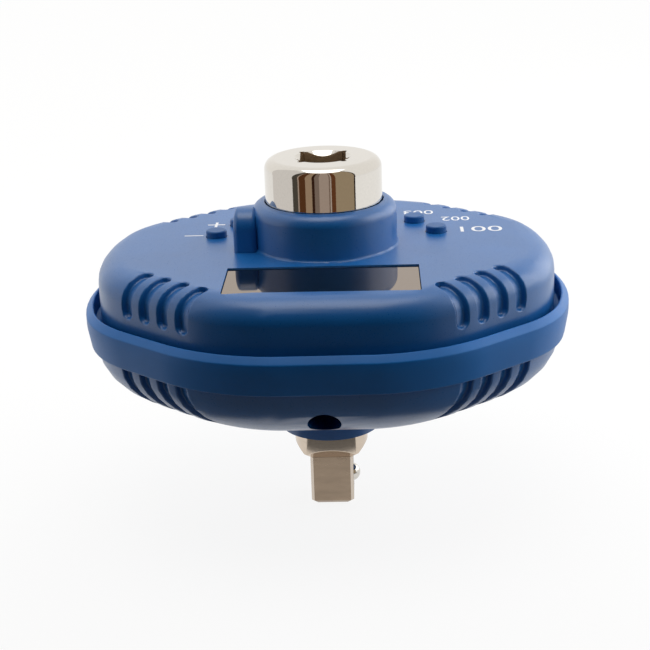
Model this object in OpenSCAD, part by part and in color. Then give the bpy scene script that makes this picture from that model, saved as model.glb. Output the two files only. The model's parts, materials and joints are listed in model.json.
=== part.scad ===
// Torque angle gauge: a square drive spindle that turns in a hand-held housing with a display.
// The origin is the centre of the male square's end face. +Z runs up the spindle, the display faces -Y.

/* [Male drive] */
// Male square across its flats
drive_size = 12.7; // [12:0.1:14]
// Length of the male square
drive_len = 15.2; // [13:0.1:18]
// Chamfer along the square's long edges
drive_edge = 0.85; // [0.4:0.05:1.2]
// Chamfer round the square's free end
drive_end = 1.1; // [0.5:0.1:1.8]
// Height of the flare between the square and the neck
cone_h = 4.5; // [3.5:0.1:7]
// Bare neck between the flare and the lower collar
neck_len = 4.7; // [3:0.1:8]
// Diameter of the detent ball
ball_d = 5.6; // [4.8:0.1:6]
// How far the ball stands out of the square
ball_proud = 2; // [1.2:0.1:2.4]
// Height of the ball above the end of the square
ball_z = 7.6; // [7:0.1:9]
// Wire of the detent spring
spring_wire = 0.5; // [0.3:0.05:0.7]
// Turns of the detent spring
spring_turns = 4; // [3:1:5]

/* [Spindle] */
// Diameter of the shaft and neck
shaft_d = 21.7; // [21:0.1:22.5]
// Diameter of the head
head_d = 33.2; // [31:0.1:34]
// Height of the head above the collar
head_proud = 12.3; // [9:0.1:16]
// Radius of the head's top edge
head_edge = 3; // [1:0.25:4]
// Female square across its flats
socket_size = 12.85; // [12.7:0.05:13.2]
// Depth of the female square
socket_depth = 16; // [14:0.5:17]
// Radius of the relief in each corner of the female square
socket_relief = 0.8; // [0.4:0.1:1.2]
// Radius of the countersink round the female square
socket_mouth_r = 8; // [7.2:0.1:9.6]
// Depth of the countersink at the female square's flats
socket_mouth_h = 1.5; // [0.8:0.1:2]
// Depth of the groove for the retaining ring
ring_groove = 0.8; // [0.5:0.1:1]
// Thickness of the retaining ring
ring_t = 1.2; // [0.8:0.1:1.6]
// Width of the retaining ring
ring_w = 2.5; // [1.6:0.1:2.6]

/* [Housing outline] */
// Width over the rounded ends of the upper shell
body_w = 130; // [126:1:136]
// Depth from front to back of the upper shell
body_d = 108; // [106:1:112]
// Width across the corner flats that carry the grips
flat_d = 118; // [116:1:121]
// Direction of the corner flats from the X axis
flat_angle = 50; // [47:1:53]
// Half of the angle that a rounded end turns through
end_arc = 15; // [12:1:18]
// Radius where a corner flat meets a rounded end
end_corner_r = 32; // [30:1:36]
// Radius where a corner flat meets the front or back
front_corner_r = 46; // [40:1:50]

/* [Housing heights] */
// Height of the lower collar under the lower shell
lower_collar_h = 12; // [9:0.5:16]
// Height of the lower shell's dome
dome_h = 18.8; // [18:0.2:22]
// Height of the band round the seam
band_h = 11; // [10:0.5:13]
// Height of the top face above the band's lower edge
upper_h = 24.6; // [24:0.2:28]
// Height of the collar above the top face
collar_h = 12.8; // [10:0.2:16]

/* [Housing form] */
// Wall of both shells
wall = 2.8; // [2.4:0.1:3]
// Height of the top edge's rounding
edge_r = 7; // [4.5:0.25:7.5]
// Reach of the top edge's rounding inwards
edge_reach = 8; // [5:0.25:8.5]
// How far the lower shell steps out under the band
dome_flare = 1.6; // [1:0.1:2]
// How far the dome draws in on its way down
dome_inset = 20.8; // [18:0.2:24]
// Share by which the dome also shrinks on its way down
dome_shrink = 0.2; // [0.1:0.02:0.26]
// Thickness of the band at its top edge
band_t = 2.3; // [1.8:0.1:2.6]
// Gap between the band's standing rim and the upper shell
band_gap = 1.9; // [1.2:0.1:2.4]
// How far the band draws in towards its lower edge
band_taper = 0.9; // [0.4:0.1:1.2]
// Diameter of the collar round the head
collar_d = 41.1; // [39.6:0.1:43]
// Radius of the collar's top edge
collar_edge = 3.4; // [0.6:0.1:3.5]
// Radius of the fillet at the collar's foot
collar_foot = 1; // [0.4:0.1:1.4]
// Diameter of the lower collar
lower_collar_d = 29.6; // [29:0.1:32]
// Width of the ear beside the collar
ear_w = 6.6; // [5:0.1:8]
// Depth of the ear beside the collar
ear_d = 8; // [6:0.1:10]
// Height of the ear above the top face
ear_h = 11.8; // [8:0.1:12.4]
// Depth of the flat on top of the ear
ear_top = 1.4; // [1:0.1:2]
// Place of the ear's middle on X
ear_x = -22.2; // [-23:0.1:-21]
// Place of the ear's middle on Y
ear_y = -5.4; // [-7:0.1:-4]

/* [Grips] */
// Grip grooves on each corner of each shell
grip_count = 4; // [3:1:4]
// Distance between grip grooves
grip_pitch = 7; // [6:0.1:7.4]
// Width of a grip groove
grip_w = 3.6; // [2:0.1:4]
// Depth of a grip groove
grip_depth = 1.5; // [0.8:0.1:1.6]
// Place of the row's middle along the corner flat
grip_mid = 9; // [8:0.5:10]
// Direction of the grooves from the X axis
grip_angle = 42; // [40:1:50]
// Reach of the grooves inwards from the wall on top
grip_reach = 7.2; // [5:0.1:9]
// Depth of the grooves' lower ends under the top face
grip_drop = 9; // [8:0.1:11]
// Reach of the grooves inwards from the wall on the dome
grip_low_reach = 10; // [8:0.5:11]

/* [Display] */
// Width of the window
window_w = 52; // [48:0.5:54]
// Depth of the window
window_d = 21.9; // [20:0.1:22.4]
// Distance on Y from the front outline to the window's front corners
window_y = 6; // [5.4:0.1:7]
// Ledge that carries the window
window_ledge = 2.5; // [1.5:0.1:3]
// Thickness of the window
window_t = 1.4; // [1:0.1:1.6]
// How deep the window lies under the top face
window_sink = 0.4; // [0.2:0.1:0.6]
// Thickness of the display glass
lcd_t = 2.8; // [2:0.1:3.2]

/* [Buttons] */
// Diameter of a button
button_d = 6; // [5:0.1:6.4]
// Height of a button above the top face
button_proud = 2; // [1:0.1:2.4]
// Travel of a button
button_travel = 0.6; // [0.4:0.05:0.8]
// Radius of the circle that the buttons lie on
button_ring = 33.3; // [32:0.1:34.5]
// Direction of the first button from the X axis
button_first = 15.5; // [14:0.5:18]
// Angle from one button to the next
button_step = 23; // [21:0.5:25]

/* [Inside] */
// Depth of the board's top face under the ceiling
board_drop = 8.4; // [8:0.1:9]
// Thickness of the board
board_t = 1.6; // [1:0.1:2]
// Diameter of the upper bush
upper_bush_d = 28; // [27:0.1:29]
// Length of the upper bush under its flange
upper_bush_len = 10; // [8:0.5:11]
// Diameter of the lower bush
lower_bush_d = 26; // [25:0.1:26.4]
// Flange of both bushes
bush_flange_t = 1.6; // [1:0.1:2]
// Thickness of the thrust washer
washer_t = 1; // [0.6:0.1:1.6]
// Diameter of the encoder disc
disc_d = 52; // [48:0.5:54]
// Thickness of the encoder disc
disc_t = 0.8; // [0.5:0.1:1.2]
// Slots in the encoder disc
disc_slots = 36; // [24:6:48]
// Diameter of a battery cell
cell_d = 10.4; // [10:0.1:10.6]
// Length of a battery cell
cell_len = 44.5; // [44:0.1:45]
// Height of the battery cover at its edge
cover_h = 3.6; // [3:0.1:4]
// Diameter of the socket for the holding rod
rod_d = 9; // [8:0.1:10]
// Depth of the rod socket's floor from the axis
rod_floor = 24; // [22:0.5:28]
// Depth of the rod socket's axis under the band
rod_drop = 10.9; // [10.5:0.1:12]
// Place of the case screws along the corner flats
boss_x = 9.2; // [8.4:0.1:10]
// Distance of the case screws inside the corner flats
boss_y = 11.6; // [11:0.1:12.4]

/* [Hidden] */

blue = "#2f5fa5";
dark_blue = "#1d3f78";
steel = "#b9b3a8";

// Clearances
run_fit = 0.05;
seat = 0.02;
part_gap = 0.15;
head_gap = 0.3;
end_play = 0.1;
cut = 1;
round_fn = 96;

// Levels, from the end of the square upwards
z_neck = drive_len + cone_h;
z_low = z_neck + neck_len;
z_floor = z_low + lower_collar_h;
z_band = z_floor + dome_h;
seam_h = 5;
z_seam = z_band + seam_h;
z_top = z_band + upper_h;
z_ceiling = z_top - wall;
z_collar = z_top + collar_h;
z_head = z_collar + head_proud;
z_ledge = z_top + 0.6;
z_bush_top = z_ledge + bush_flange_t;
z_shoulder = z_bush_top + washer_t + end_play;
z_ring = z_low + 0.9;
z_bush_low = z_ring + ring_t + end_play;
z_low_hub = z_floor + 6;
z_board = z_ceiling - board_drop;
z_under_board = z_board - board_t;
z_disc = z_under_board - 7.6;

shaft_r = shaft_d / 2;
head_r = head_d / 2;
collar_r = collar_d / 2;
hub_wall = 3;

// Outline of the housing: arcs on the ends, at the corner flats and at the front, each tangent to the next
corner_turn = flat_angle - end_arc;
end_bow = flat_d / 2 - end_corner_r * (1 - cos(corner_turn)) - body_w / 2 * cos(flat_angle);
end_r = end_bow / (cos(corner_turn) - cos(flat_angle));
end_x = body_w / 2 - end_r;
end_centre = [end_x, 0] + (end_r - end_corner_r) * [cos(end_arc), sin(end_arc)];
front_y = body_d / 2 - front_corner_r;
front_x = (flat_d / 2 - front_corner_r - sin(flat_angle) * front_y) / cos(flat_angle);
end_steps = 4;
corner_steps = 9;

// Depth of the front outline at a distance from the middle
function front_at(x) = front_y + sqrt(pow(front_corner_r, 2) - pow(max(0, x - front_x), 2));

// Directions across and along the corner flats
flat_normal = [cos(flat_angle), sin(flat_angle)];
flat_along = [sin(flat_angle), -cos(flat_angle)];

// Stations of one quarter, each with its normal's direction, its arc's centre and its arc's radius
quarter = concat(
    [for (i = [0 : end_steps - 1]) [i * end_arc / end_steps, [end_x, 0], end_r]],
    [for (i = [0 : corner_steps]) [end_arc + i * corner_turn / corner_steps, end_centre, end_corner_r]],
    [for (i = [0 : corner_steps])
        [flat_angle + i * (90 - flat_angle) / corner_steps, [front_x, front_y], front_corner_r]]
);

// The whole outline, drawn in by an inset
function outline(inset) =
    let (
        q = [for (s = quarter) s[1] + (s[2] - inset) * [cos(s[0]), sin(s[0])]],
        half = concat(q, [for (i = [len(q) - 2 : -1 : 0]) [-q[i][0], q[i][1]]])
    )
    concat(half, [for (i = [1 : len(half) - 2]) -half[i]]);

// One level of a shell, with its inset, its height and the share that it keeps of its size
function level(inset, z, keep = 1) = [for (p = outline(inset)) [p[0] * keep, p[1] * keep, z]];

// A rectangle with round corners, counter-clockwise
function round_rect(w, d, r, steps = 4) = [
    for (k = [0 : 3], i = [0 : steps])
        let (a = 90 * k + 90 * i / steps, sx = (k == 0 || k == 3) ? 1 : -1, sy = k < 2 ? 1 : -1)
        [sx * (w / 2 - r) + r * cos(a), sy * (d / 2 - r) + r * sin(a)]
];

// Corner points of the male square, drawn in by an inset
function square_ring(inset, z) =
    let (a = drive_size / 2 - inset, b = a - drive_edge)
    [for (p = [[a, -b], [a, b], [b, a], [-b, a], [-a, b], [-a, -b], [-b, -a], [b, -a]]) [p[0], p[1], z]];

// Side faces between two rings of points that start at a and b
function strip(a, b, n) = [
    for (i = [0 : n - 1], k = [0, 1])
        let (j = (i + 1) % n)
        k == 0 ? [a + i, b + i, b + j] : [a + i, b + j, a + j]
];

// Closed solid through rings of points, listed from the bottom up
module skin(rings) {
    n = len(rings[0]);
    last = len(rings) - 1;
    polyhedron(
        points = [for (r = rings) each r],
        faces = concat(
            [[for (i = [0 : n - 1]) i]],
            [for (k = [0 : last - 1]) each strip(k * n, (k + 1) * n, n)],
            [[for (i = [n - 1 : -1 : 0]) last * n + i]]
        )
    );
}

// Closed hoop that carries a section of [outset, height] points round the outline
module hoop(section) {
    n = len(outline(0));
    m = len(section);
    polyhedron(
        points = [for (s = section) each level(-s[0], s[1])],
        faces = [for (k = [0 : m - 1]) each strip(k * n, ((k + 1) % m) * n, n)]
    );
}

// Tube between two heights
module ring(outer_r, inner_r, z0, z1) {
    translate([0, 0, z0])
        difference() {
            cylinder(r = outer_r, h = z1 - z0, $fn = round_fn);
            translate([0, 0, -cut])
                cylinder(r = inner_r, h = z1 - z0 + 2 * cut, $fn = round_fn);
        }
}

// Upright rod between two heights
module rod(r, z0, z1) {
    translate([0, 0, z0])
        cylinder(r = r, h = z1 - z0, $fn = 48);
}

// Box centred on X and Y between two heights
module slab(w, d, z0, z1) {
    translate([-w / 2, -d / 2, z0])
        cube([w, d, z1 - z0]);
}

// Copies in all four quarters
module four_ways() {
    for (mx = [0, 1], my = [0, 1])
        mirror([mx, 0, 0])
            mirror([0, my, 0])
                children();
}

// Places of the screws that hold the board
board_end_gap = 17;
board_back_gap = 12;
board_back_x = 12;
post_x = body_w / 2 - board_end_gap;
post_y = body_d / 2 - board_back_gap;
board_posts = [[post_x, 0], [-post_x, 0], [board_back_x, post_y], [-board_back_x, post_y]];
board_post_r = 3;
board_screw_r = 1.2;
board_screw_len = 7;

// Case screws
boss = (flat_d / 2 - boss_y) * flat_normal + boss_x * flat_along;
case_boss_r = 4.5;
case_top_boss_r = 3.9;
case_head_r = 2.9;
case_head_t = 2.4;
case_screw_r = 1.5;
case_bore_r = case_head_r + 0.3;
z_meet = z_seam - 4;
z_case_seat = z_meet - 10;
case_screw_len = 19;

// Battery bay on the left of the spindle
cell_gap = 0.4;
bay_wall = 1.6;
contact_room = 1.6;
bay_w = 2 * cell_d + 3 * cell_gap;
bay_d = cell_len + 2 * contact_room;
bay_x = -(lower_collar_d / 2 + bay_wall + bay_w / 2);
z_bay = z_floor + cover_h;
z_cell = z_bay + cell_gap + cell_d / 2;
z_bay_roof = z_cell + cell_d / 2 + cell_gap;
cover_ledge = 1;
cover_tab_w = 9;
cover_tab_reach = 5.6;
cover_screw_y = bay_d / 2 + cover_ledge + 2.4;
cover_screw_r = 1.3;
cover_screw_head_r = 2.4;
cover_screw_head_t = 1.4;
cover_screw_len = 8;

// Dome of the lower shell at a share u of its height, 0 at the band
function dome_bow(u) = 1 - sqrt(1 - u * u);
function dome_keep(u) = 1 - dome_shrink * dome_bow(u);
dome_steps = 8;
dome_shares = [for (i = [0 : dome_steps]) sin(90 * i / dome_steps)];

// Levels of the dome from the bottom up, drawn in by an inset at the band and by a wall at the floor
function dome_levels(inset, deep) = [
    for (i = [dome_steps : -1 : 0])
        let (u = dome_shares[i])
        level(inset + (dome_inset + deep - dome_flare - inset) * dome_bow(u),
            z_band - (dome_h - deep) * u, dome_keep(u))
];

// Directions round an edge, from its side to its top
edge_turns = [0 : 15 : 90];

// Levels of the upper shell from the bottom up, drawn in all over by a depth
function upper_levels(deep, z0) = concat(
    [level(deep, z0)],
    [for (a = edge_turns)
        level(edge_reach - (edge_reach - deep) * cos(a), z_top - edge_r + (edge_r - deep) * sin(a))]
);

// Spindle: revolved from the neck to the head, with the male square below and the female square above
module drive_spindle() {
    groove_r = shaft_r - ring_groove;
    edge = [for (a = edge_turns)
        [head_r - head_edge + head_edge * cos(a), z_head - head_edge + head_edge * sin(a)]];
    profile = concat(
        [[0, z_neck], [shaft_r, z_neck], [shaft_r, z_ring - seat], [groove_r, z_ring - seat]],
        [[groove_r, z_ring + ring_t + seat], [shaft_r, z_ring + ring_t + seat]],
        [[shaft_r, z_shoulder], [head_r, z_shoulder]],
        edge,
        [[0, z_head]]
    );
    color(steel)
    difference() {
        union() {
            rotate_extrude($fn = round_fn)
                polygon(profile);
            male_square();
        }
        female_square();
        detent_hole();
    }
}

// Male square with four flats that flare out to the round neck
module male_square() {
    flare_over = 0.4;
    flare = shaft_r + flare_over - drive_size / 2;
    intersection() {
        skin([
            square_ring(drive_end, 0),
            square_ring(0, drive_end),
            square_ring(0, drive_len),
            square_ring(-flare, z_neck)
        ]);
        translate([0, 0, -cut])
            cylinder(r = shaft_r, h = z_neck + cut, $fn = round_fn);
    }
}

// Female square with corner reliefs and a countersunk mouth
module female_square() {
    half = socket_size / 2;
    corner = half - socket_relief / 2;
    mouth_slope = (socket_mouth_r - half) / socket_mouth_h;
    slab(socket_size, socket_size, z_head - socket_depth, z_head + cut);
    four_ways()
        translate([corner, corner, 0])
            rod(socket_relief, z_head - socket_depth, z_head + cut);
    translate([0, 0, z_head - socket_mouth_h])
        cylinder(r1 = half, r2 = socket_mouth_r + mouth_slope * cut, h = socket_mouth_h + cut,
            $fn = round_fn);
}

// Detent in the male square: ball, spring and their blind hole
ball_r = ball_d / 2;
ball_x = drive_size / 2 + ball_proud - ball_r;
detent_floor = -drive_size / 2 + 2.2;
spring_r = ball_r - spring_wire - 0.4;
spring_x0 = detent_floor + spring_wire / 2 + seat;
spring_x1 = ball_x - sqrt(ball_r * ball_r - spring_r * spring_r) - spring_wire;
spring_step = 30;
spring_sides = 6;

module detent_hole() {
    translate([detent_floor, 0, ball_z])
        rotate([0, 90, 0])
            cylinder(r = ball_r + run_fit, h = drive_size, $fn = 48);
}

module detent_ball() {
    color(steel)
    translate([ball_x, 0, ball_z])
        sphere(d = ball_d, $fn = 48);
}

// Coil between the hole's floor and the ball
module detent_spring() {
    rings = [
        for (a = [spring_turns * 360 : -spring_step : 0])
            let (x = spring_x0 + (spring_x1 - spring_x0) * a / (spring_turns * 360))
            [for (b = [0 : 360 / spring_sides : 359])
                let (r = spring_r + spring_wire / 2 * cos(b))
                [x + spring_wire / 2 * sin(b), r * cos(a), ball_z + r * sin(a)]]
    ];
    color("silver")
    skin(rings);
}

// Washer between the head's shoulder and the upper bush
module thrust_washer() {
    color("#c9a24b")
    ring(upper_bush_d / 2 + 1.4, shaft_r + run_fit, z_bush_top + end_play / 2, z_shoulder - end_play / 2);
}

// Open ring with two lugs in the shaft's groove
module retaining_ring() {
    inner_r = shaft_r - ring_groove + seat;
    outer_r = inner_r + ring_w;
    lug_r = 1.2;
    color("#4a4c50")
    translate([0, 0, z_ring])
        difference() {
            cylinder(r = outer_r, h = ring_t, $fn = round_fn);
            translate([0, 0, -cut])
                cylinder(r = inner_r, h = ring_t + 2 * cut, $fn = round_fn);
            rotate(-90)
                translate([0, -lug_r, -cut])
                    cube([outer_r + cut, 2 * lug_r, ring_t + 2 * cut]);
            for (a = [-14, 14])
                rotate(a - 90)
                    translate([inner_r + ring_w / 2, 0, -cut])
                        cylinder(d = lug_r, h = ring_t + 2 * cut, $fn = 24);
        }
}

// Slotted disc on a hub that is clamped to the shaft
encoder_hub_r = shaft_r + 4.2;
encoder_hub_h = 6;
grub_r = 1.25;
z_grub = z_disc - disc_t / 2 - encoder_hub_h / 2;

module encoder_disc() {
    slot_w = PI * disc_d / disc_slots / 2.4;
    slot_len = 4;
    rim = 1.2;
    color("#3c3f44")
    difference() {
        union() {
            rod(disc_d / 2, z_disc - disc_t / 2, z_disc + disc_t / 2);
            rod(encoder_hub_r, z_disc - disc_t / 2 - encoder_hub_h, z_disc + disc_t / 2);
        }
        rod(shaft_r + seat, z_disc - encoder_hub_h - disc_t - cut, z_disc + disc_t + cut);
        for (i = [0 : disc_slots - 1])
            rotate(360 * i / disc_slots)
                translate([disc_d / 2 - rim - slot_len, -slot_w / 2, z_disc - disc_t])
                    cube([slot_len, slot_w, 2 * disc_t]);
        translate([0, 0, z_grub])
            rotate([0, 90, 0])
                cylinder(r = grub_r + seat, h = encoder_hub_r + cut, $fn = 32);
    }
}

module encoder_grub_screw() {
    hex_r = 0.75;
    color("#4a4c50")
    translate([shaft_r + 2 * seat, 0, z_grub])
        rotate([0, 90, 0])
            difference() {
                cylinder(r = grub_r, h = encoder_hub_r - shaft_r, $fn = 32);
                translate([0, 0, (encoder_hub_r - shaft_r) / 2])
                    cylinder(r = hex_r, h = encoder_hub_r, $fn = 6);
            }
}

// Places of a button by its index, with side -1 on the left and 1 on the right
function button_place(i, side) =
    let (a = button_first + i * button_step)
    button_ring * [side * cos(a), sin(a)];
buttons = [
    button_place(0, -1), button_place(1, -1),
    button_place(0, 1), button_place(1, 1), button_place(2, 1)
];

// Moulded shell that carries the collar, the ear, the window and the buttons
module upper_housing() {
    color(blue)
    difference() {
        union() {
            skin(upper_levels(0, z_seam + run_fit));
            collar();
            ear();
        }
        difference() {
            skin(upper_levels(wall, z_seam - cut));
            upper_inner();
        }
        rod(head_r + head_gap, z_ledge, z_collar + cut);
        rod(upper_bush_d / 2 + seat, z_ledge - upper_bush_len - cut, z_ledge + cut);
        window_cut();
        for (p = buttons)
            translate(p)
                rod(button_d / 2 + part_gap, z_ceiling - cut, z_top + cut);
        for (p = board_posts)
            translate(p)
                rod(board_screw_r + seat, z_board - cut, z_board + board_screw_len);
        four_ways() {
            translate(boss)
                rod(case_screw_r + seat, z_meet - cut, z_case_seat + case_screw_len + cut);
            grip_cuts();
        }
    }
}

// Collar with a round top edge and a fillet at its foot
module collar() {
    top = [for (a = edge_turns)
        [collar_r - collar_edge + collar_edge * cos(a), z_collar - collar_edge + collar_edge * sin(a)]];
    foot = [for (a = [270 : -15 : 180])
        [collar_r + collar_foot + collar_foot * cos(a), z_top + collar_foot + collar_foot * sin(a)]];
    rotate_extrude($fn = round_fn)
        polygon(concat([[0, z_ceiling], [collar_r + collar_foot, z_ceiling]], foot, top, [[0, z_collar]]));
}

// Upright ear on the left of the collar, with a front that curves over to a narrow top
ear_corner = 1.6;
ear_edge = 1.1;
ear_round = ear_d - ear_edge - ear_top;

module ear() {
    // Each level has the inset of its front, the inset of its other sides and its height
    levels = concat(
        [[0, 0, z_ceiling]],
        [for (a = edge_turns)
            [ear_round * (1 - cos(a)), ear_edge * (1 - cos(a)), z_top + ear_h - ear_round * (1 - sin(a))]]
    );
    translate([ear_x, ear_y, 0])
        skin([for (s = levels)
            [for (p = round_rect(ear_w - 2 * s[1], ear_d - s[0] - s[1], ear_corner - s[1]))
                [p[0], p[1] + (s[0] - s[1]) / 2, s[2]]]]);
}

// What stands inside the upper shell: hub, screw bosses and posts for the board
module upper_inner() {
    rod(upper_bush_d / 2 + hub_wall, z_ledge - upper_bush_len, z_top);
    four_ways()
        translate(boss)
            rod(case_top_boss_r, z_meet + run_fit, z_top);
    for (p = board_posts)
        translate(p)
            rod(board_post_r, z_board + run_fit, z_top);
}

// Opening for the window, with the ledge that carries it
window_mid = -(front_at(window_w / 2) - window_y - window_d / 2);

module window_cut() {
    view_w = window_w - 2 * window_ledge;
    view_d = window_d - 2 * window_ledge;
    translate([0, window_mid, 0]) {
        slab(window_w, window_d, z_top - window_sink - window_t, z_top + cut);
        slab(view_w, view_d, z_ceiling - cut, z_top);
    }
}

// Local frame of a grip groove: X runs outwards along the groove from the wall
module at_grip(i) {
    along = grip_mid + (i - (grip_count - 1) / 2) * grip_pitch;
    translate(flat_d / 2 * flat_normal + along * flat_along)
        rotate(grip_angle)
            children();
}

// Grooves of one corner of the upper shell, over the edge and down the wall
module grip_cuts() {
    beyond = 8;
    z_end = z_top - grip_drop;
    z_under = z_end - 2 * grip_w;
    floor_line = [for (a = edge_turns)
        [(edge_reach - grip_depth) * cos(a) - edge_reach, z_top - edge_r + (edge_r - grip_depth) * sin(a)]];
    inside = -edge_reach - 20;
    for (i = [0 : grip_count - 1])
        at_grip(i)
            intersection() {
                rotate([90, 0, 0])
                    linear_extrude(grip_w, center = true)
                        difference() {
                            translate([-grip_reach - grip_w, z_end - grip_w])
                                square([grip_reach + grip_w + beyond, grip_drop + grip_w + cut]);
                            polygon(concat([[inside, z_under], [-grip_depth, z_under]], floor_line,
                                [[inside, z_top - grip_depth]]));
                        }
                union() {
                    translate([-grip_reach, -grip_w / 2, z_end])
                        cube([grip_reach + beyond, grip_w, grip_drop + cut]);
                    translate([-grip_reach, 0, z_end])
                        cylinder(d = grip_w, h = grip_drop + cut, $fn = 32);
                    translate([-grip_reach, 0, z_end])
                        rotate([0, 90, 0])
                            cylinder(d = grip_w, h = grip_reach + beyond, $fn = 32);
                }
            }
}

// Grooves of one corner of the lower shell, from the band down the dome
module grip_low_cuts() {
    beyond = 6;
    far = flat_d / 2 + dome_flare;
    floor_line = [
        for (u = dome_shares)
            [(far - grip_depth - (dome_inset - dome_flare) * dome_bow(u)) * dome_keep(u) - flat_d / 2,
                z_band - (dome_h - grip_depth) * u]
    ];
    for (i = [0 : grip_count - 1])
        at_grip(i)
            intersection() {
                rotate([90, 0, 0])
                    linear_extrude(grip_w, center = true)
                        polygon(concat(floor_line, [[-grip_low_reach - 20, z_floor - cut],
                            [beyond, z_floor - cut], [beyond, z_band]]));
                union() {
                    translate([-grip_low_reach, -grip_w / 2, z_floor - cut])
                        cube([grip_low_reach + beyond, grip_w, dome_h + cut]);
                    translate([-grip_low_reach, 0, z_floor - cut])
                        cylinder(d = grip_w, h = dome_h + cut, $fn = 32);
                }
            }
}

// Domed shell that carries the lower collar, the battery bay and the rod socket
lap_inset = 0.2;

module lower_housing() {
    color(blue)
    difference() {
        union() {
            dome_form();
            rod(lower_collar_d / 2, z_low, z_floor + cut);
        }
        difference() {
            skin(concat(dome_levels(lap_inset + wall, wall), [level(lap_inset + wall, z_seam + cut)]));
            lower_inner();
        }
        rod(lower_bush_d / 2 + seat, z_low - cut, z_low_hub + cut);
        bay_cut();
        rod_cut();
        four_ways() {
            translate(boss) {
                rod(case_bore_r, z_floor - cut, z_case_seat);
                rod(case_screw_r + part_gap, z_case_seat - cut, z_meet + cut);
            }
            grip_low_cuts();
        }
    }
}

// Outer form of the lower shell with the lap that stands inside the band
module dome_form() {
    skin(concat(dome_levels(-dome_flare, 0), [level(lap_inset, z_band), level(lap_inset, z_seam)]));
}

// What stands inside the lower shell: hub, screw bosses, battery bay and the rod socket's tube
module lower_inner() {
    rod(lower_collar_d / 2, z_floor, z_low_hub);
    four_ways()
        translate(boss)
            rod(case_boss_r, z_floor, z_meet);
    translate([bay_x, 0, 0]) {
        slab(bay_w + 2 * bay_wall, bay_d + 2 * bay_wall, z_floor, z_bay_roof + bay_wall);
        slab(bay_w + 2 * cover_ledge + 2 * bay_wall, bay_d + 2 * cover_ledge + 2 * bay_wall,
            z_floor, z_bay + bay_wall);
        translate([0, cover_screw_y, 0])
            slab(cover_tab_w + 2 * bay_wall, 2 * cover_tab_reach, z_floor, z_bay + cover_screw_len);
    }
    translate([0, -rod_floor + bay_wall, z_band - rod_drop])
        rotate([90, 0, 0])
            cylinder(d = rod_d + 2 * bay_wall, h = body_d / 2, $fn = 48);
}

// Room for the cells, the opening for their cover and the cover screw's pilot hole
module bay_cut() {
    translate([bay_x, 0, 0]) {
        slab(bay_w, bay_d, z_floor, z_bay_roof);
        cover_outline(0, z_floor - cut, z_bay);
        translate([0, cover_screw_y, 0])
            rod(cover_screw_r + seat, z_bay - cut, z_bay + cover_screw_len - cut);
    }
}

// Socket that takes a rod from the front
module rod_cut() {
    translate([0, -rod_floor, z_band - rod_drop])
        rotate([90, 0, 0])
            cylinder(d = rod_d, h = body_d / 2, $fn = 64);
}

// Cover's outline with its screw tab, drawn in by a gap, centred on the bay
module cover_outline(gap, z0, z1) {
    w = bay_w + 2 * cover_ledge;
    d = bay_d + 2 * cover_ledge;
    slab(w - 2 * gap, d - 2 * gap, z0, z1);
    translate([-cover_tab_w / 2 + gap, 0, z0])
        cube([cover_tab_w - 2 * gap, d / 2 + cover_tab_reach - gap, z1 - z0]);
}

// Cover that follows the dome, with a finger step and a countersunk screw hole
module battery_cover() {
    color(blue)
    difference() {
        intersection() {
            dome_form();
            translate([bay_x, 0, 0])
                cover_outline(part_gap, z_floor - cut, z_bay - run_fit);
        }
        translate([bay_x, cover_screw_y, 0]) {
            rod(cover_screw_r + part_gap, z_floor - cut, z_bay + cut);
            rod(cover_screw_head_r + part_gap, z_floor - cut, z_bay - cover_screw_head_t);
        }
    }
}

// Pan-head screw that points up, with a cross recess
module screw(head_radius, head_t, r, len) {
    slot = head_radius / 3;
    difference() {
        union() {
            rod(head_radius, -head_t, 0);
            rod(r, -seat, len);
        }
        slab(head_radius * 1.2, slot, -head_t - cut, -head_t / 2);
        slab(slot, head_radius * 1.2, -head_t - cut, -head_t / 2);
    }
}

module battery_cover_screw() {
    head_gap_z = z_bay - cover_screw_head_t - seat;
    color("#8d9096")
    translate([bay_x, cover_screw_y, head_gap_z])
        screw(cover_screw_head_r, cover_screw_head_t, cover_screw_r, cover_screw_len);
}

module case_screws() {
    color("#8d9096")
    four_ways()
        translate([boss[0], boss[1], z_case_seat - seat])
            screw(case_head_r, case_head_t, case_screw_r, case_screw_len);
}

module board_screws() {
    head_radius = 2.2;
    head_t = 1.6;
    color("#8d9096")
    for (p = board_posts)
        translate([p[0], p[1], z_under_board - seat])
            screw(head_radius, head_t, board_screw_r, board_screw_len);
}

// Two cells side by side, head to tail
module batteries() {
    nub_d = 3.8;
    nub_len = 1;
    for (side = [-1, 1])
        color("#c8ccd0")
        translate([bay_x + side * (cell_d + cell_gap) / 2, side * cell_len / 2, z_cell])
            rotate([side * 90, 0, 0]) {
                cylinder(d = cell_d, h = cell_len - nub_len, $fn = 48);
                cylinder(d = nub_d, h = cell_len, $fn = 32);
            }
}

// Bent leaf contacts at both ends of both cells
module battery_contacts() {
    t = 0.3;
    bend = contact_room - t - 2 * seat;
    leaf_w = 6;
    leaf_h = 8;
    leaf = [[0, -leaf_h / 2], [t, -leaf_h / 2], [t, leaf_h / 6], [bend, 0], [bend + t, 0.3],
        [t, leaf_h / 3], [t, leaf_h / 2], [0, leaf_h / 2]];
    color("#b59a55")
    for (side = [-1, 1], end = [-1, 1])
        translate([bay_x + side * (cell_d + cell_gap) / 2, end * (bay_d / 2 - seat), z_cell])
            rotate([90, 0, -end * 90])
                linear_extrude(leaf_w, center = true)
                    polygon(leaf);
}

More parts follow.
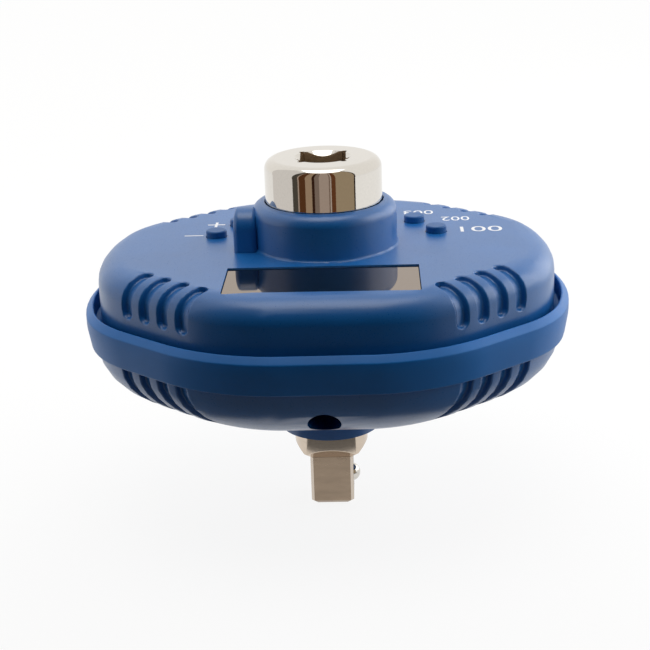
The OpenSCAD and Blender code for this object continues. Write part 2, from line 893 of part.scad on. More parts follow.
// Band round the seam: a tongue on the shells, a tapered face and a standing rim with a bevel
module bumper_band() {
    out = band_gap + band_t;
    bevel = 1.9;
    z0 = z_band + end_play;
    z1 = z_band + band_h;
    section = [
        [run_fit, z0],
        [out - band_taper - 0.4, z0],
        [out - band_taper, z0 + 0.4],
        [out, z0 + band_h * 0.55],
        [out, z1 - bevel],
        [band_gap + 0.5, z1],
        [band_gap, z1 - 0.4],
        [band_gap, z_seam + 1],
        [run_fit, z_seam + 0.4]
    ];
    color(blue)
    hoop(section);
}

module display_window() {
    z1 = z_top - window_sink;
    color([0.1, 0.11, 0.13, 0.6])
    translate([0, window_mid, 0])
        slab(window_w - 2 * part_gap, window_d - 2 * part_gap, z1 - window_t + seat, z1);
}

// Display stack under the window: glass, frame and contact strips on the board
lcd_w = window_w - 3;
lcd_d = window_d - 2;
frame_t = 1;
strip_t = 2;
z_lcd = z_ceiling - part_gap - lcd_t;

module lcd_panel() {
    step = 2.2;
    color("#7d8a7a")
    translate([0, window_mid, 0]) {
        slab(lcd_w, lcd_d, z_lcd, z_lcd + lcd_t / 2);
        slab(lcd_w, lcd_d - step, z_lcd, z_lcd + lcd_t);
    }
}

module lcd_frame() {
    color("#e8e6df")
    translate([0, window_mid, 0])
        difference() {
            slab(lcd_w + 2 * frame_t + 2 * part_gap, lcd_d + 2 * frame_t + 2 * part_gap,
                z_board, z_ceiling - part_gap);
            slab(lcd_w + 2 * part_gap, lcd_d + 2 * part_gap, z_lcd - run_fit, z_ceiling);
            slab(lcd_w - 4, lcd_d - 2 * frame_t + 2 * part_gap, z_board - cut, z_ceiling);
        }
}

module zebra_strips() {
    y = lcd_d / 2 - frame_t - strip_t / 2;
    color("#d98aa0")
    for (side = [-1, 1])
        translate([0, window_mid + side * y, 0])
            slab(lcd_w - 6, strip_t, z_board, z_lcd);
}

// Board that fills the upper shell, with holes for the hub and the case screws' bosses
module main_board() {
    hub_room = 2;
    color("#2f6b45")
    difference() {
        translate([0, 0, z_under_board])
            linear_extrude(board_t)
                polygon(outline(wall + 4));
        rod(upper_bush_d / 2 + hub_wall + hub_room, z_under_board - cut, z_board + cut);
        four_ways()
            translate(boss)
                rod(case_top_boss_r + 0.6, z_under_board - cut, z_board + cut);
        for (p = board_posts)
            translate(p)
                rod(board_screw_r + part_gap, z_under_board - cut, z_board + cut);
    }
}

// Controller under the board, with the dimple that marks its first leg
mcu_size = 10;
mcu_t = 1.6;
mcu_x = -36;
mcu_y = -12;
mcu_dimple_r = 0.6;
mcu_dimple_inset = 1.5;
mcu_dimple_depth = 0.3;

module microcontroller() {
    z0 = z_under_board - mcu_t;
    dimple = mcu_size / 2 - mcu_dimple_inset;
    color("#26282b")
    translate([mcu_x, mcu_y, 0])
        difference() {
            slab(mcu_size, mcu_size, z0, z_under_board);
            translate([-dimple, dimple, 0])
                rod(mcu_dimple_r, z0 - cut, z0 + mcu_dimple_depth);
        }
}

// Round sounder under the board, with its sound hole
buzzer_r = 6;
buzzer_h = 8;
buzzer_hole_r = 1;
buzzer_hole_depth = 2;
buzzer_x = 36;
buzzer_y = -10;

module buzzer() {
    z0 = z_under_board - buzzer_h;
    color("#26282b")
    translate([buzzer_x, buzzer_y, 0])
        difference() {
            rod(buzzer_r, z0, z_under_board);
            rod(buzzer_hole_r, z0 - cut, z0 + buzzer_hole_depth);
        }
}

// Forked light barrier that hangs from the board round the disc's rim
sensor_w = 12;
sensor_drop = 5;
sensor_fork = 1.6;
sensor_bite = 6;
sensor_rim_gap = 1.2;
sensor_back = 4;

module angle_sensor() {
    y0 = disc_d / 2 - sensor_bite;
    y1 = disc_d / 2 + sensor_rim_gap + sensor_back;
    color("#26282b")
    difference() {
        translate([-sensor_w / 2, y0, z_disc - sensor_drop])
            cube([sensor_w, y1 - y0, z_under_board - z_disc + sensor_drop]);
        translate([-sensor_w / 2 - cut, y0 - cut, z_disc - disc_t / 2 - sensor_fork])
            cube([sensor_w + 2 * cut, sensor_bite + sensor_rim_gap + cut, disc_t + 2 * sensor_fork]);
    }
}

// Push switches on the board under the buttons
switch_size = 6;
switch_h = 3.5;
plunger_h = 1.2;

module tact_switches() {
    color("#26282b")
    for (p = buttons)
        translate([p[0], p[1], 0]) {
            slab(switch_size, switch_size, z_board, z_board + switch_h);
            rod(1.7, z_board, z_board + switch_h + plunger_h);
        }
}

// Button cap with a rounded rim, a flange under the top face and a stem to its switch
module button(p) {
    r = button_d / 2;
    rim = 0.5;
    flange_t = 1;
    z1 = z_top + button_proud;
    z_flange = z_ceiling - end_play;
    z_stem = z_board + switch_h + plunger_h + button_travel + end_play;
    top = [for (a = [0 : 30 : 90]) [r - rim + rim * cos(a), z1 - rim + rim * sin(a)]];
    profile = concat(
        [[0, z_stem], [r - 1.3, z_stem], [r - 1.3, z_flange - flange_t], [r + 1, z_flange - flange_t]],
        [[r + 1, z_flange], [r, z_flange]],
        top,
        [[0, z1]]
    );
    color(dark_blue)
    translate(p)
        rotate_extrude($fn = 48)
            polygon(profile);
}

module minus_button() button(buttons[0]);
module plus_button() button(buttons[1]);
module memory_button() button(buttons[2]);
module mode_button() button(buttons[3]);
module unit_button() button(buttons[4]);

// Flanged bush in the upper hub
module upper_bush() {
    color("#c9a24b")
    difference() {
        union() {
            rod(upper_bush_d / 2, z_ledge - upper_bush_len, z_ledge + seat);
            rod(upper_bush_d / 2 + 2, z_ledge + seat, z_bush_top);
        }
        rod(shaft_r + run_fit, z_ledge - upper_bush_len - cut, z_bush_top + cut);
    }
}

// Flanged bush in the lower collar
module lower_bush() {
    color("#c9a24b")
    difference() {
        union() {
            rod(lower_bush_d / 2, z_bush_low, z_low_hub + seat);
            rod(lower_collar_d / 2, z_low_hub + seat, z_low_hub + bush_flange_t);
        }
        rod(shaft_r + run_fit, z_bush_low - cut, z_low_hub + bush_flange_t + cut);
    }
}

drive_spindle();
thrust_washer();
retaining_ring();
encoder_disc();
encoder_grub_screw();
detent_spring();
detent_ball();
upper_housing();
lower_housing();
bumper_band();
display_window();
lcd_panel();
lcd_frame();
zebra_strips();
main_board();
microcontroller();
tact_switches();
buzzer();
angle_sensor();
board_screws();
upper_bush();
lower_bush();
battery_cover();
battery_cover_screw();
batteries();
battery_contacts();
case_screws();
minus_button();
plus_button();
memory_button();
mode_button();
unit_button();
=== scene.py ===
"""Looks of the torque angle gauge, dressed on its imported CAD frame. Lengths are in metres."""
import json
import math

import bmesh
import bpy
from mathutils import Matrix, Vector
from mathutils.kdtree import KDTree


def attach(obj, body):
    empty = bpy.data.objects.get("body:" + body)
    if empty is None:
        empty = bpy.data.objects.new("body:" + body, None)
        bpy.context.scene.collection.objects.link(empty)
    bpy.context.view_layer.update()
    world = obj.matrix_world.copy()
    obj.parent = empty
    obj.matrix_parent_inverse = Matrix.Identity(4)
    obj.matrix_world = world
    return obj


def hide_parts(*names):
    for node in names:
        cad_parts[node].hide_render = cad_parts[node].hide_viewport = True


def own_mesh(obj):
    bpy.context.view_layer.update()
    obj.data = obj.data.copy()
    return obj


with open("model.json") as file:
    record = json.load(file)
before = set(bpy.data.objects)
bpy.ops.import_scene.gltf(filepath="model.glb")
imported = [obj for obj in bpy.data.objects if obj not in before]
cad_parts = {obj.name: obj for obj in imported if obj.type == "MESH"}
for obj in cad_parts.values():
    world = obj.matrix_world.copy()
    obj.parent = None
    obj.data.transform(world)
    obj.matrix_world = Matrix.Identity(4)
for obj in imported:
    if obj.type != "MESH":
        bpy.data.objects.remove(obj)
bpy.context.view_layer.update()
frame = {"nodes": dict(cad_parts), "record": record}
nodes = frame["nodes"]
scene = bpy.context.scene
scene.view_settings.view_transform = "Standard"

MM = 0.001
# Places on the CAD: the housing's top face, and where the spindle's finish changes
Z_TOP = 79.8 * MM
SPINDLE_SPLIT = 60.0 * MM
NECK_FOOT = 15.6 * MM
SOCKET_RADIUS = 10 * MM
SOCKET_RIM = 104.6 * MM


# Camera of the photograph
FOCAL_PX = 1470.5
IMAGE_PX = 650
SENSOR_MM = 36.0
CAMERA_TARGET = Vector((-0.88, 0.0, 54.67)) * MM
CAMERA_DISTANCE = 429.56 * MM
CAMERA_ELEVATION = math.radians(19.27)
CAMERA_AZIMUTH = math.radians(2.151)
CAMERA_ROLL = math.radians(-1.909)


def make_camera():
    data = bpy.data.cameras.new("camera")
    data.sensor_width = SENSOR_MM
    data.lens = FOCAL_PX / IMAGE_PX * SENSOR_MM
    data.clip_start = 0.01
    data.clip_end = 50.0
    camera = bpy.data.objects.new("camera", data)
    scene.collection.objects.link(camera)
    ce, se = math.cos(CAMERA_ELEVATION), math.sin(CAMERA_ELEVATION)
    ca, sa = math.cos(CAMERA_AZIMUTH), math.sin(CAMERA_AZIMUTH)
    back = Vector((sa * ce, -ca * ce, se))
    right = Vector((ca, sa, 0.0))
    up = back.cross(right)
    cam_x = right * math.cos(CAMERA_ROLL) + up * math.sin(CAMERA_ROLL)
    cam_y = up * math.cos(CAMERA_ROLL) - right * math.sin(CAMERA_ROLL)
    turn = Matrix((cam_x, cam_y, back)).transposed().to_4x4()
    camera.matrix_world = Matrix.Translation(CAMERA_TARGET + back * CAMERA_DISTANCE) @ turn
    scene.camera = camera


# Materials
# Most of a noise texture lies between these two values
NOISE_LOW = 0.3
NOISE_HIGH = 0.7
GRAIN_DEPTH = 0.04 * MM
TOOL_MARK_DEPTH = 0.03 * MM
RIPPLE_DEPTH = 0.3 * MM
BROACHED_ROUGHNESS = 0.5


class Shader:
    """One node material around a Principled shader, with object coordinates in metres."""

    def __init__(self, name):
        self.material = bpy.data.materials.new(name)
        self.material.use_nodes = True
        self.tree = self.material.node_tree
        self.bsdf = self.tree.nodes["Principled BSDF"]
        self.coords = self.tree.nodes.new("ShaderNodeTexCoord").outputs["Object"]

    def node(self, kind, **values):
        made = self.tree.nodes.new(kind)
        for key, value in values.items():
            setattr(made, key, value)
        return made

    def link(self, out, to):
        self.tree.links.new(out, to)

    def set(self, **values):
        for key, value in values.items():
            self.bsdf.inputs[key.replace("_", " ")].default_value = value

    def noise(self, scale, detail, stretch=(1, 1, 1)):
        place = self.node("ShaderNodeMapping")
        place.inputs["Scale"].default_value = stretch
        self.link(self.coords, place.inputs["Vector"])
        made = self.node("ShaderNodeTexNoise")
        made.inputs["Scale"].default_value = scale
        made.inputs["Detail"].default_value = detail
        self.link(place.outputs["Vector"], made.inputs["Vector"])
        return made.outputs["Fac"]

    def spread(self, value, low, high):
        """Stretches a noise to run from low to high."""
        made = self.node("ShaderNodeMapRange")
        made.inputs["From Min"].default_value = NOISE_LOW
        made.inputs["From Max"].default_value = NOISE_HIGH
        made.inputs["To Min"].default_value = low
        made.inputs["To Max"].default_value = high
        self.link(value, made.inputs["Value"])
        return made.outputs["Result"]

    def feed(self, socket, value):
        """Links an output to a socket, or sets a colour or number on it."""
        if isinstance(value, bpy.types.NodeSocket):
            self.link(value, socket)
        elif isinstance(value, tuple):
            socket.default_value = (*value, 1.0)
        else:
            socket.default_value = value

    def mix(self, share, first, second):
        """A colour between two colours or colour outputs."""
        made = self.node("ShaderNodeMix", data_type="RGBA")
        colours = [s for s in made.inputs if s.type == "RGBA"]
        self.link(share, next(s for s in made.inputs if s.type == "VALUE"))
        self.feed(colours[0], first)
        self.feed(colours[1], second)
        return next(s for s in made.outputs if s.type == "RGBA")

    def pick(self, share, first, second):
        """A value between two numbers or value outputs."""
        made = self.node("ShaderNodeMix", data_type="FLOAT")
        values = [s for s in made.inputs if s.type == "VALUE"]
        for socket, value in zip(values, (share, first, second)):
            self.feed(socket, value)
        return next(s for s in made.outputs if s.type == "VALUE")

    def maths(self, operation, *values):
        made = self.node("ShaderNodeMath", operation=operation)
        for socket, value in zip(made.inputs, values):
            self.feed(socket, value)
        return made.outputs["Value"]

    def split(self, vector):
        """The X, Y and Z outputs of a vector."""
        made = self.node("ShaderNodeSeparateXYZ")
        self.link(vector, made.inputs["Vector"])
        return made.outputs

    def above(self, height):
        """One above a height."""
        return self.maths("GREATER_THAN", self.split(self.coords)["Z"], height)

    def within(self, radius, top):
        """One inside an upright cylinder on the axis, under a height."""
        place = self.split(self.coords)
        flat = self.node("ShaderNodeCombineXYZ")
        self.link(place["X"], flat.inputs["X"])
        self.link(place["Y"], flat.inputs["Y"])
        far = self.node("ShaderNodeVectorMath", operation="LENGTH")
        self.link(flat.outputs["Vector"], far.inputs[0])
        near = self.maths("LESS_THAN", far.outputs["Value"], radius)
        low = self.maths("LESS_THAN", place["Z"], top)
        return self.both(near, low)

    def facing(self, axis, share, margin):
        """One where a face's normal has this share along an axis, either way, within a margin."""
        normal = self.split(self.node("ShaderNodeNewGeometry").outputs["True Normal"])
        return self.maths("COMPARE", self.maths("ABSOLUTE", normal[axis]), share, margin)

    def both(self, first, second):
        return self.maths("MULTIPLY", first, second)

    def bump(self, height, strength, distance):
        made = self.node("ShaderNodeBump")
        made.inputs["Strength"].default_value = strength
        made.inputs["Distance"].default_value = distance
        self.link(height, made.inputs["Height"])
        self.link(made.outputs["Normal"], self.bsdf.inputs["Normal"])


def tinted(colour, share):
    return tuple(min(1.0, c * share) for c in colour)


def moulded(name, colour, rough, grain=0.25, level=0.4):
    """Spark-eroded moulding: soft colour drift, uneven sheen and a fine grain."""
    s = Shader(name)
    drift = s.noise(scale=70.0, detail=4.0)
    fine = s.noise(scale=3500.0, detail=2.0)
    base = s.mix(s.spread(drift, 0.0, 1.0), tinted(colour, 0.94), tinted(colour, 1.06))
    s.link(base, s.bsdf.inputs["Base Color"])
    s.link(s.spread(fine, rough - 0.05, rough + 0.05), s.bsdf.inputs["Roughness"])
    s.set(Specular_IOR_Level=level)
    s.bump(fine, grain, GRAIN_DEPTH)
    return s.material


def machined(name, colour, rough, stretch=(1, 1, 1), grain=0.2):
    """Turned or plated metal with fine tool marks along one direction."""
    s = Shader(name)
    marks = s.noise(scale=900.0, detail=3.0, stretch=stretch)
    base = s.mix(s.spread(marks, 0.0, 1.0), tinted(colour, 0.9), tinted(colour, 1.05))
    s.link(base, s.bsdf.inputs["Base Color"])
    s.link(s.spread(marks, rough * 0.8, rough * 1.25), s.bsdf.inputs["Roughness"])
    s.set(Metallic=1.0)
    s.bump(marks, grain, TOOL_MARK_DEPTH)
    return s.material


BLUE = (0.006, 0.115, 0.37)
CHROME = (0.70, 0.67, 0.62)
NICKEL = (0.34, 0.26, 0.19)
BROACHED = (0.5, 0.4, 0.28)
POLISHED = (0.64, 0.54, 0.44)
# Painted highlight: lighter colour for the drive square's slanted corner faces
CHAMFER_HIGHLIGHT = (0.62, 0.54, 0.46)


def spindle_metal():
    """Bright plated head, polished neck and a satin square with cast ripples and a painted highlight on
    its slanted corner faces.
    """
    s = Shader("spindle_metal")
    head = s.above(SPINDLE_SPLIT)
    fine = s.noise(scale=1500.0, detail=2.0)
    ripple = s.noise(scale=160.0, detail=3.0, stretch=(0.6, 0.6, 2.2))
    square = s.mix(s.spread(ripple, 0.0, 1.0), tinted(NICKEL, 0.76), tinted(NICKEL, 1.0))
    # Painted highlight: the square's slanted corner faces get a lighter colour in place of their bright
    # reflection
    painted_highlight = s.facing("X", share=0.7, margin=0.25)
    square = s.mix(painted_highlight, square, CHAMFER_HIGHLIGHT)
    neck = s.mix(s.spread(ripple, 0.0, 1.0), tinted(POLISHED, 0.92), tinted(POLISHED, 1.06))
    turned = s.above(NECK_FOOT)
    shank = s.mix(turned, square, neck)
    plate = s.mix(s.spread(fine, 0.0, 1.0), tinted(CHROME, 0.98), tinted(CHROME, 1.02))
    upright = s.facing("Z", share=0.0, margin=0.3)
    inside = s.both(s.within(SOCKET_RADIUS, SOCKET_RIM), upright)
    broached = s.mix(s.spread(ripple, 0.0, 1.0), tinted(BROACHED, 0.8), BROACHED)
    upper = s.mix(inside, plate, broached)
    s.link(s.mix(head, shank, upper), s.bsdf.inputs["Base Color"])
    shine = s.pick(inside, s.spread(fine, 0.03, 0.06), BROACHED_ROUGHNESS)
    satin = s.pick(turned, s.spread(ripple, 0.2, 0.3), s.spread(fine, 0.1, 0.14))
    s.link(s.pick(head, satin, shine), s.bsdf.inputs["Roughness"])
    s.set(Metallic=1.0)
    level = (NOISE_LOW + NOISE_HIGH) / 2
    s.bump(s.pick(turned, ripple, level), strength=0.25, distance=RIPPLE_DEPTH)
    return s.material


def window_glass():
    """Dark display window with a strong, slightly warm reflection."""
    s = Shader("window")
    smear = s.noise(scale=45.0, detail=3.0)
    s.link(s.mix(smear, (0.004, 0.006, 0.012), (0.008, 0.011, 0.02)), s.bsdf.inputs["Base Color"])
    s.link(s.spread(smear, 0.02, 0.05), s.bsdf.inputs["Roughness"])
    s.set(IOR=4.0, Specular_Tint=(1.0, 0.86, 0.74, 1.0))
    return s.material


def make_materials():
    turned = (1, 1, 8)
    return {
        "spindle_metal": spindle_metal(),
        "bronze": machined("bronze", (0.52, 0.33, 0.13), 0.3, turned),
        "dark_steel": machined("dark_steel", (0.06, 0.06, 0.065), 0.4),
        "steel": machined("steel", (0.45, 0.46, 0.48), 0.3, turned),
        "ball_steel": machined("ball_steel", (0.66, 0.63, 0.58), 0.1, grain=0.05),
        "blue_plastic": moulded("blue_plastic", BLUE, 0.32, level=0.85),
        # Band: its own rougher, less glossy finish, in a lighter blue that is painted light
        "band_plastic_painted_lighter": moulded("band_plastic_painted_lighter", tinted(BLUE, 1.25), 0.42, level=0.35),
        "button_plastic": moulded("button_plastic", tinted(BLUE, 0.8), 0.4),
        "window": window_glass(),
        "lcd": moulded("lcd", (0.24, 0.28, 0.23), 0.15, grain=0.02),
        "white_plastic": moulded("white_plastic", (0.72, 0.72, 0.68), 0.5),
        "zebra_rubber": moulded("zebra_rubber", (0.5, 0.2, 0.25), 0.7),
        "board": moulded("board", (0.012, 0.09, 0.03), 0.35),
        "black_plastic": moulded("black_plastic", (0.012, 0.012, 0.014), 0.5),
        "cell": moulded("cell", (0.45, 0.47, 0.5), 0.3),
        "contact_brass": machined("contact_brass", (0.5, 0.37, 0.12), 0.3),
        "ink": moulded("ink", (0.85, 0.86, 0.88), 0.5),
    }


# CAD nodes: smooth shading, eased edges and materials
RIMS = {"upper_housing": 0.55 * MM, "lower_housing": 0.45 * MM}
SHORT_EDGE = 0.4 * MM
WELD_GAP = 0.002 * MM
GRIP_X = 26 * MM
GRIP_Y = 20 * MM
GRIP_REACH = 50 * MM
SHARP_ANGLE = math.radians(32.0)
FLAT_ANGLE = math.radians(0.6)
SHELL_FLAT_ANGLE = math.radians(2.0)


def on_grips(place):
    """True in the four corners of the housing that carry the grip grooves."""
    x, y = abs(place.x), abs(place.y)
    return x > GRIP_X and y > GRIP_Y and (x + y) * math.sqrt(0.5) > GRIP_REACH


def weigh_rims(obj):
    """Marks the sharp edges of the grip grooves for a wide bevel."""
    mesh = obj.data
    bm = bmesh.new()
    bm.from_mesh(mesh)
    bmesh.ops.remove_doubles(bm, verts=bm.verts, dist=WELD_GAP)
    bm.verts.index_update()
    tree = KDTree(len(bm.verts))
    for v in bm.verts:
        tree.insert(v.co, v.index)
    tree.balance()
    rims = set()
    for e in bm.edges:
        sharp = len(e.link_faces) == 2 and e.calc_face_angle() > SHARP_ANGLE
        if sharp and all(on_grips(v.co) for v in e.verts):
            rims.add(frozenset(v.index for v in e.verts))
    bm.free()
    welded = [tree.find(v.co)[1] for v in mesh.vertices]
    weights = mesh.attributes.new("bevel_weight_edge", "FLOAT", "EDGE")
    marks = [float(frozenset(welded[i] for i in e.vertices) in rims) for e in mesh.edges]
    weights.data.foreach_set("value", marks)


def shade(name, width):
    """Joins the node's faces in its display, eases its edges and gives flat faces flat normals."""
    obj = nodes[name]
    mesh = obj.data
    stored = mesh.attributes.get("custom_normal")
    if stored:
        mesh.attributes.remove(stored)
    mesh.polygons.foreach_set("use_smooth", [True] * len(mesh.polygons))
    weld = obj.modifiers.new("weld", "WELD")
    weld.merge_threshold = WELD_GAP
    flat = obj.modifiers.new("flat", "DECIMATE")
    flat.decimate_type = "DISSOLVE"
    flat.angle_limit = SHELL_FLAT_ANGLE if name in RIMS else FLAT_ANGLE
    if name in RIMS:
        weigh_rims(obj)
        short = obj.modifiers.new("short_edges", "WELD")
        short.merge_threshold = SHORT_EDGE
        rims = obj.modifiers.new("rims", "BEVEL")
        rims.width = RIMS[name]
        rims.segments = 3
        rims.limit_method = "WEIGHT"
        rims.use_clamp_overlap = False
        rims.miter_outer = "MITER_ARC"
    bevel = obj.modifiers.new("edges", "BEVEL")
    bevel.width = width
    bevel.segments = 2
    bevel.limit_method = "ANGLE"
    bevel.angle_limit = SHARP_ANGLE
    bevel.miter_outer = "MITER_ARC"
    normals = obj.modifiers.new("normals", "WEIGHTED_NORMAL")
    normals.weight = 80
    normals.keep_sharp = True


EDGES = {
    "upper_housing": 0.5 * MM,
    "lower_housing": 0.4 * MM,
    "bumper_band": 0.3 * MM,
    "battery_cover": 0.2 * MM,
    "drive_spindle": 0.25 * MM,
    "display_window": 0.1 * MM,
}
SMALL_EDGE = 0.06 * MM
# Nodes with a finish of their own in place of their slot's; the band's is rougher and less glossy, and
# its lighter blue is painted light that stands in for more light falling on it
DRESSED = {"bumper_band": "band_plastic_painted_lighter"}


def dress_nodes(made):
    """Gives each CAD node its slot's material and its eased edges."""
    slots = {s["node"]: s["material_slot"] for s in frame["record"]["subparts"]}
    for name, obj in nodes.items():
        obj.data.materials.clear()
        obj.data.materials.append(made[DRESSED.get(name, slots[name])])
        shade(name, EDGES.get(name, SMALL_EDGE))


# The coil behind the ball
def make_coil():
    """Stands for the detent spring: a copy of its mesh, attached to the spindle's body, in place of the
    hidden node.
    """
    node = nodes["detent_spring"]
    bpy.context.view_layer.update()
    mesh = node.data.copy()
    mesh.name = "detent_coil"
    mesh.transform(node.matrix_world)
    obj = bpy.data.objects.new("detent_coil", mesh)
    scene.collection.objects.link(obj)
    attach(obj, "spindle")
    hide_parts("detent_spring")
    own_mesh(obj)


# Printed signs on the top face
INK_LOW = Z_TOP + 0.002 * MM
INK_THICK = 0.03 * MM


def printed(name, outline, made):
    """Thin ink layer on the top face from a closed outline in millimetres."""
    mesh = bpy.data.meshes.new(name)
    bm = bmesh.new()
    low = [bm.verts.new((x * MM, y * MM, INK_LOW)) for x, y in outline]
    face = bm.faces.new(low)
    grown = bmesh.ops.extrude_face_region(bm, geom=[face])["geom"]
    high = [v for v in grown if isinstance(v, bmesh.types.BMVert)]
    bmesh.ops.translate(bm, verts=high, vec=(0, 0, INK_THICK))
    bmesh.ops.recalc_face_normals(bm, faces=bm.faces)
    bm.to_mesh(mesh)
    bm.free()
    obj = bpy.data.objects.new(name, mesh)
    scene.collection.objects.link(obj)
    mesh.materials.append(made["ink"])
    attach(obj, "housing")


def bar(x0, y0, x1, y1):
    return [(x0, y0), (x1, y0), (x1, y1), (x0, y1)]


def cross(cx, cy, size, thick):
    a, b = size / 2, thick / 2
    lower = [(-a, -b), (-b, -b), (-b, -a), (b, -a), (b, -b), (a, -b)]
    upper = [(-x, -y) for x, y in lower]
    return [(cx + x, cy + y) for x, y in lower + upper]


def number_label(name, text, centre, width, height, made):
    """A plain number that reads from the back, as raised ink."""
    data = bpy.data.curves.new(name, "FONT")
    data.body = text
    data.align_x = "CENTER"
    data.align_y = "CENTER"
    data.extrude = 0.5
    data.resolution_u = 4
    words = bpy.data.objects.new(name + "_words", data)
    scene.collection.objects.link(words)
    bpy.context.view_layer.update()
    mesh = bpy.data.meshes.new_from_object(words.evaluated_get(bpy.context.evaluated_depsgraph_get()))
    bpy.data.objects.remove(words)
    mesh.name = name
    xs = [v.co.x for v in mesh.vertices]
    ys = [v.co.y for v in mesh.vertices]
    middle = Vector(((min(xs) + max(xs)) / 2, (min(ys) + max(ys)) / 2, 0))
    sx = width * MM / (max(xs) - min(xs))
    sy = height * MM / (max(ys) - min(ys))
    for v in mesh.vertices:
        p = v.co - middle
        z = INK_LOW if p.z < 0 else INK_LOW + INK_THICK
        v.co = Vector((centre[0] * MM - p.x * sx, centre[1] * MM - p.y * sy, z))
    mesh.materials.clear()
    mesh.materials.append(made["ink"])
    obj = bpy.data.objects.new(name, mesh)
    scene.collection.objects.link(obj)
    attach(obj, "housing")


def print_labels(made):
    """The signs beside the five buttons, in millimetres."""
    printed("minus_sign", bar(x0=-41.6, y0=9.5, x1=-36.1, y1=10.2), made)
    printed("plus_sign", cross(cx=-33.3, cy=21.4, size=5.2, thick=0.8), made)
    number_label("number_one", "001", centre=(45.3, 10.4), width=12.2, height=5.4, made=made)
    number_label("number_two", "002", centre=(38.4, 22.4), width=8.4, height=4.4, made=made)
    number_label("number_three", "003", centre=(27.6, 30.4), width=9.0, height=4.4, made=made)


# Stage: floor, dim striped card in front, soft lamps and a pale world

# Each stripe of the card: its two angles in degrees from the front, and its colour
STRIPES = [
    (-110, -58, (0.78, 0.755, 0.74)),
    (-58, -47, (0.075, 0.067, 0.055)),
    (-47, -44.5, (0.43, 0.33, 0.27)),
    (-44.5, -32, (0.10, 0.04, 0.016)),
    (-32, -19.5, (0.36, 0.255, 0.17)),
    (-19.5, -14.5, (0.037, 0.015, 0.008)),
    (-14.5, -6, (0.22, 0.165, 0.135)),
    (-6, 12, (0.40, 0.315, 0.265)),
    (12, 14.5, (0.20, 0.14, 0.11)),
    (14.5, 16.5, (0.5, 0.42, 0.36)),
    (16.5, 24.5, (0.13, 0.048, 0.019)),
    (24.5, 46, (0.36, 0.28, 0.185)),
    (46, 61, (0.36, 0.28, 0.185)),
    (61, 64, (0.03, 0.022, 0.02)),
]
# The stripes between these angles are on cards that light the plated pieces alone
INNER = (-58, 46)
CARD_RADIUS = 0.2
CARD_HEIGHT = 0.36
CARD_TOP = 0.5
CARD_STEP_DEGREES = 4
FLAG_INSIDE = 0.05
FLAG_OUTSIDE = 0.2
FLAG_HALF_ANGLE = 75
FLAG_HEIGHT = -0.05 * MM
FLAG_STEPS = 24
FLAG_GLOW = (0.15, 0.15, 0.15)
FLOOR_RADIUS = 12.0
FLOOR_HEIGHT = -0.1 * MM
FLOOR_PALE = (0.9, 0.9, 0.9, 1)
FLOOR_BOUNCE = (0.33, 0.33, 0.33, 1)
FLOOR_SHADOW = 0.12
WORLD_COLOUR = (1.0, 0.985, 0.96, 1)
LAMP_TARGET = Vector((0, 0, 60)) * MM


def bare_material(name):
    """A node material that has no nodes yet."""
    material = bpy.data.materials.new(name)
    material.use_nodes = True
    material.node_tree.nodes.clear()
    return material


def floor_material():
    """White to the camera and in reflections, and grey where the floor's light reaches the part."""
    material = bare_material("floor")
    tree = material.node_tree
    path = tree.nodes.new("ShaderNodeLightPath")
    seen = tree.nodes.new("ShaderNodeMath")
    seen.operation = "MAXIMUM"
    tree.links.new(path.outputs["Is Camera Ray"], seen.inputs[0])
    glossy = tree.nodes.new("ShaderNodeMath")
    glossy.operation = "MAXIMUM"
    tree.links.new(path.outputs["Is Glossy Ray"], glossy.inputs[0])
    tree.links.new(path.outputs["Is Transmission Ray"], glossy.inputs[1])
    tree.links.new(glossy.outputs["Value"], seen.inputs[1])
    pale = tree.nodes.new("ShaderNodeBsdfDiffuse")
    pale.inputs["Color"].default_value = FLOOR_PALE
    white = tree.nodes.new("ShaderNodeEmission")
    white.inputs["Strength"].default_value = 1.0
    lit = tree.nodes.new("ShaderNodeMixShader")
    lit.inputs["Fac"].default_value = FLOOR_SHADOW
    tree.links.new(white.outputs["Emission"], lit.inputs[1])
    tree.links.new(pale.outputs["BSDF"], lit.inputs[2])
    bounce = tree.nodes.new("ShaderNodeBsdfDiffuse")
    bounce.inputs["Color"].default_value = FLOOR_BOUNCE
    choose = tree.nodes.new("ShaderNodeMixShader")
    tree.links.new(seen.outputs["Value"], choose.inputs["Fac"])
    tree.links.new(bounce.outputs["BSDF"], choose.inputs[1])
    tree.links.new(lit.outputs["Shader"], choose.inputs[2])
    out = tree.nodes.new("ShaderNodeOutputMaterial")
    tree.links.new(choose.outputs["Shader"], out.inputs["Surface"])
    return material


def make_floor():
    mesh = bpy.data.meshes.new("floor")
    bm = bmesh.new()
    bmesh.ops.create_circle(bm, cap_ends=True, segments=96, radius=FLOOR_RADIUS)
    bmesh.ops.translate(bm, verts=bm.verts, vec=(0, 0, FLOOR_HEIGHT))
    bm.to_mesh(mesh)
    bm.free()
    mesh.materials.append(floor_material())
    floor = bpy.data.objects.new("floor", mesh)
    scene.collection.objects.link(floor)


def glowing(name, colour):
    material = bare_material(name)
    tree = material.node_tree
    glow = tree.nodes.new("ShaderNodeEmission")
    glow.inputs["Color"].default_value = (*colour, 1)
    out = tree.nodes.new("ShaderNodeOutputMaterial")
    tree.links.new(glow.outputs["Emission"], out.inputs["Surface"])
    return material


def stand_card(name, mesh, shades=False):
    """Sets up a card that the camera doesn't see, which shades the object or only shows in its sheen."""
    card = bpy.data.objects.new(name, mesh)
    scene.collection.objects.link(card)
    card.visible_camera = False
    card.visible_diffuse = shades
    card.visible_shadow = shades
    return card


def glow_for_metal(card):
    """Lets the card light the plated pieces alone."""
    mirrors = bpy.data.collections.new(card.name + "_mirrors")
    for node in ("drive_spindle", "detent_ball"):
        mirrors.objects.link(nodes[node])
    card.light_linking.receiver_collection = mirrors


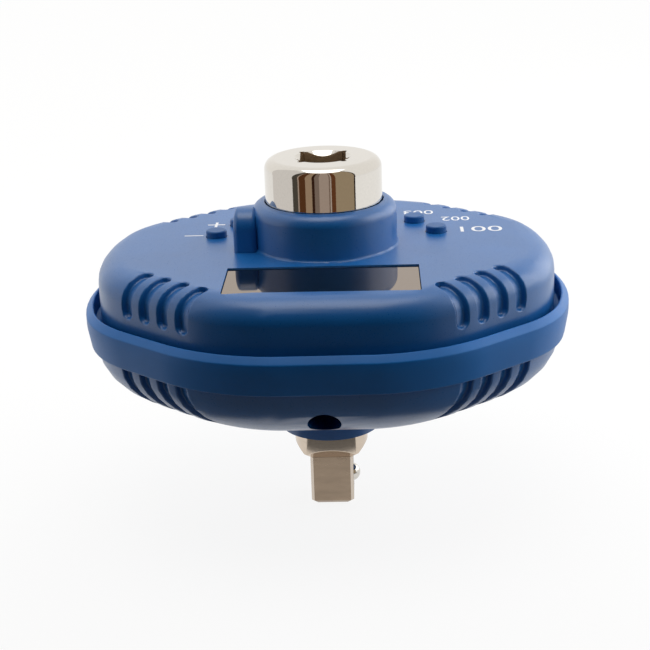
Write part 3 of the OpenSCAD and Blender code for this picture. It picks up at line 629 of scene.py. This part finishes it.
def make_card(name, stripes, z0, z1, shades=False):
    """Dim curved card in front of the object that the plated head mirrors."""
    mesh = bpy.data.meshes.new(name)
    verts, faces, picks = [], [], []
    for index, (a0, a1, colour) in enumerate(stripes):
        steps = max(1, round((a1 - a0) / CARD_STEP_DEGREES))
        for i in range(steps):
            base = len(verts)
            for a in (a0 + (a1 - a0) * i / steps, a0 + (a1 - a0) * (i + 1) / steps):
                x, y = CARD_RADIUS * math.sin(math.radians(a)), -CARD_RADIUS * math.cos(math.radians(a))
                verts += [(x, y, z0), (x, y, z1)]
            faces.append((base, base + 2, base + 3, base + 1))
            picks.append(index)
        mesh.materials.append(glowing(f"{name}_{index}", colour))
    mesh.from_pydata(verts, [], faces)
    mesh.polygons.foreach_set("material_index", picks)
    return stand_card(name, mesh, shades)


def make_flag():
    """Flat grey half ring on the floor in front that dims the white floor in the plastic's sheen."""
    mesh = bpy.data.meshes.new("floor_flag")
    turns = [math.radians(FLAG_HALF_ANGLE * (2 * i / FLAG_STEPS - 1)) for i in range(FLAG_STEPS + 1)]
    radii = (FLAG_INSIDE, FLAG_OUTSIDE)
    verts = [(r * math.sin(a), -r * math.cos(a), FLAG_HEIGHT) for a in turns for r in radii]
    mesh.from_pydata(verts, [], [(i, i + 1, i + 3, i + 2) for i in range(0, len(verts) - 2, 2)])
    mesh.materials.append(glowing("floor_flag", FLAG_GLOW))
    stand_card("floor_flag", mesh)


def make_cards():
    inner = [s for s in STRIPES if INNER[0] <= s[0] < INNER[1]]
    outer = [s for s in STRIPES if s not in inner]
    glow_for_metal(make_card("front_card", inner, 0.0, CARD_HEIGHT, shades=True))
    glow_for_metal(make_card("raised_card", inner, CARD_HEIGHT, CARD_TOP))
    make_card("side_card", outer, 0.0, CARD_TOP)
    make_flag()


def make_lamp(name, place, size, watts, spared=()):
    """A soft lamp that looks at the part and leaves out the spared nodes."""
    data = bpy.data.lights.new(name, "AREA")
    data.size = size
    data.energy = watts
    lamp = bpy.data.objects.new(name, data)
    lamp.location = place
    lamp.rotation_euler = (LAMP_TARGET - Vector(place)).to_track_quat("-Z", "Y").to_euler()
    scene.collection.objects.link(lamp)
    if spared:
        unlit = bpy.data.collections.new(name + "_spares")
        for index, node in enumerate(spared):
            unlit.objects.link(nodes[node])
            unlit.collection_objects[index].light_linking.link_state = "EXCLUDE"
        lamp.light_linking.receiver_collection = unlit


def make_world():
    world = bpy.data.worlds.new("studio")
    scene.world = world
    world.use_nodes = True
    back = world.node_tree.nodes["Background"]
    back.inputs["Color"].default_value = WORLD_COLOUR
    back.inputs["Strength"].default_value = 1.0


make_camera()
made = make_materials()
dress_nodes(made)
make_coil()
print_labels(made)
make_floor()
make_cards()
make_lamp("right_softbox", place=(0.55, 0.05, 0.32), size=0.4, watts=0.8, spared=("drive_spindle",))
make_lamp("top_softbox", place=(0.0, -0.12, 0.86), size=0.6, watts=1.6)
make_lamp("back_softbox", place=(0.62, 0.5, 0.22), size=0.5, watts=0.94, spared=("drive_spindle",))
make_world()
